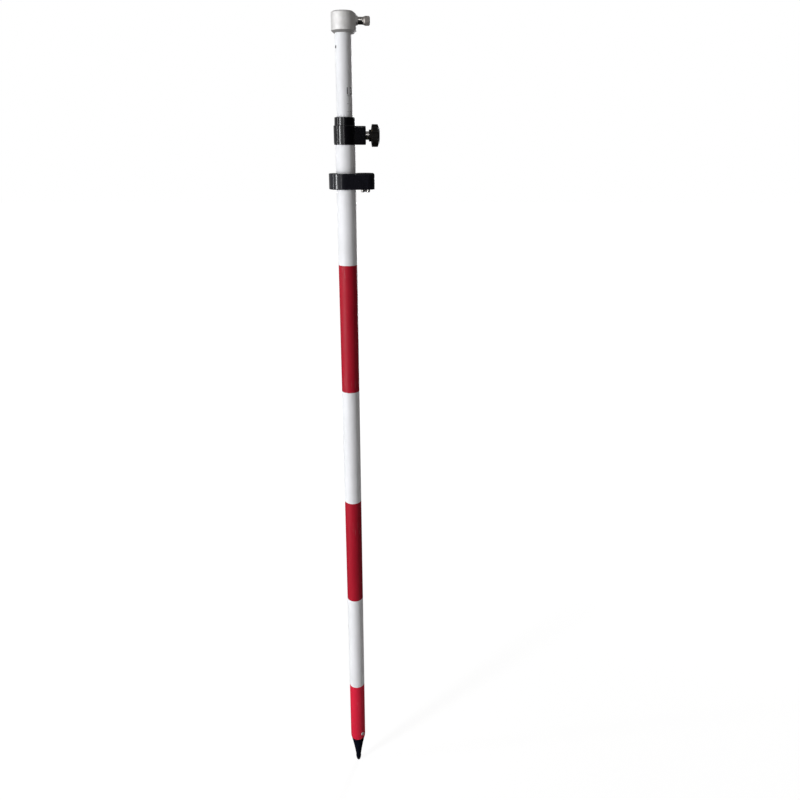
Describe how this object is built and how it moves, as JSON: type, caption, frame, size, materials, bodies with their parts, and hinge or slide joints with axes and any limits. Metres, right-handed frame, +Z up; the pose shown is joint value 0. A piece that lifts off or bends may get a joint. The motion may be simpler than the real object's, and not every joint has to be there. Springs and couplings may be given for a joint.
{
  "type": "survey prism pole",
  "caption": "Red and white telescopic survey pole with a steel point, a side clamp knob, a round level on a bracket and a silver socket that clamps a prism on top.",
  "frame": {"origin": "the end of the point, on the pole's axis, where it stands on a ground mark", "axes": "+Z up the pole; +X towards the clamp knob, the level and the head screw"},
  "size_m": [0.0724, 0.04, 1.3301],
  "materials": {
    "tube_paint": "gloss white and red paint on aluminium tube",
    "scale_tube": "gloss white paint with a printed scale on aluminium tube",
    "foot_paint": "gloss red paint on turned aluminium",
    "point_steel": "blackened steel",
    "bright_steel": "bright steel",
    "black_screw": "black oxide steel",
    "collar_plastic": "gloss black moulding",
    "knob_plastic": "satin black moulding",
    "bracket_plastic": "gloss black moulding",
    "nylon": "natural nylon",
    "brass": "turned brass",
    "head_metal": "satin silver cast aluminium",
    "screw_metal": "polished plated steel",
    "bezel_metal": "black anodised aluminium",
    "vial_glass": "clear glass",
    "vial_fluid": "green level fluid",
    "seat_rubber": "black rubber"
  },
  "bodies": {
    "lower": {"lower_tube": "tube_paint", "foot_plug": "foot_paint", "pole_point": "point_steel", "foot_rivets": "bright_steel", "clamp_collar": "collar_plastic", "collar_liner": "nylon", "clamp_insert": "brass", "collar_screw": "black_screw"},
    "level_carrier": {"level_bracket": "bracket_plastic", "level_seat_ring": "seat_rubber", "level_housing": "bezel_metal", "level_bezel": "bezel_metal", "level_glass": "vial_glass", "level_fluid": "vial_fluid", "level_adjust_screws": "bright_steel", "bracket_screw": "black_screw", "bracket_pad": "nylon"},
    "telescope_guide": {"guide_bush": "nylon"},
    "upper": {"upper_tube": "scale_tube", "bush_retainer": "bright_steel", "end_plug": "nylon", "prism_head": "head_metal", "head_grub_screw": "black_screw"},
    "clamp_pusher": {"clamp_shoe": "nylon"},
    "clamp_handle": {"clamp_stud": "bright_steel", "clamp_knob": "knob_plastic"},
    "head_pusher": {"head_pad": "brass"},
    "head_handle": {"head_screw": "screw_metal"}
  },
  "joints": [
    {"name": "telescope", "type": "slide", "parent": "lower", "child": "telescope_guide", "axis": [0, 0, 1], "range_m": [-0.101, 0.82]},
    {"name": "upper_swivel", "type": "hinge", "parent": "telescope_guide", "child": "upper", "pos_m": [0, 0, 0.8], "axis": [0, 0, 1], "continuous": true},
    {"name": "clamp_press", "type": "slide", "parent": "lower", "child": "clamp_pusher", "axis": [1, 0, 0], "range_m": [0, 0.0025]},
    {"name": "clamp_turn", "type": "hinge", "parent": "clamp_pusher", "child": "clamp_handle", "pos_m": [0.03, 0, 1.17925], "axis": [1, 0, 0], "range_deg": [0, 720]},
    {"name": "head_press", "type": "slide", "parent": "upper", "child": "head_pusher", "axis": [1, 0, 0], "range_m": [-0.002, 0.002]},
    {"name": "head_turn", "type": "hinge", "parent": "head_pusher", "child": "head_handle", "pos_m": [0.025, 0, 1.3202], "axis": [1, 0, 0], "range_deg": [-720, 720]},
    {"name": "level_slide", "type": "slide", "parent": "lower", "child": "level_carrier", "axis": [0, 0, 1], "range_m": [-1.015, 0.033]}
  ],
  "couplings": [
    {"joint": "clamp_turn", "follows": "clamp_press", "rad_per_m": 5026.5},
    {"joint": "head_turn", "follows": "head_press", "rad_per_m": 6283.2}
  ]
}
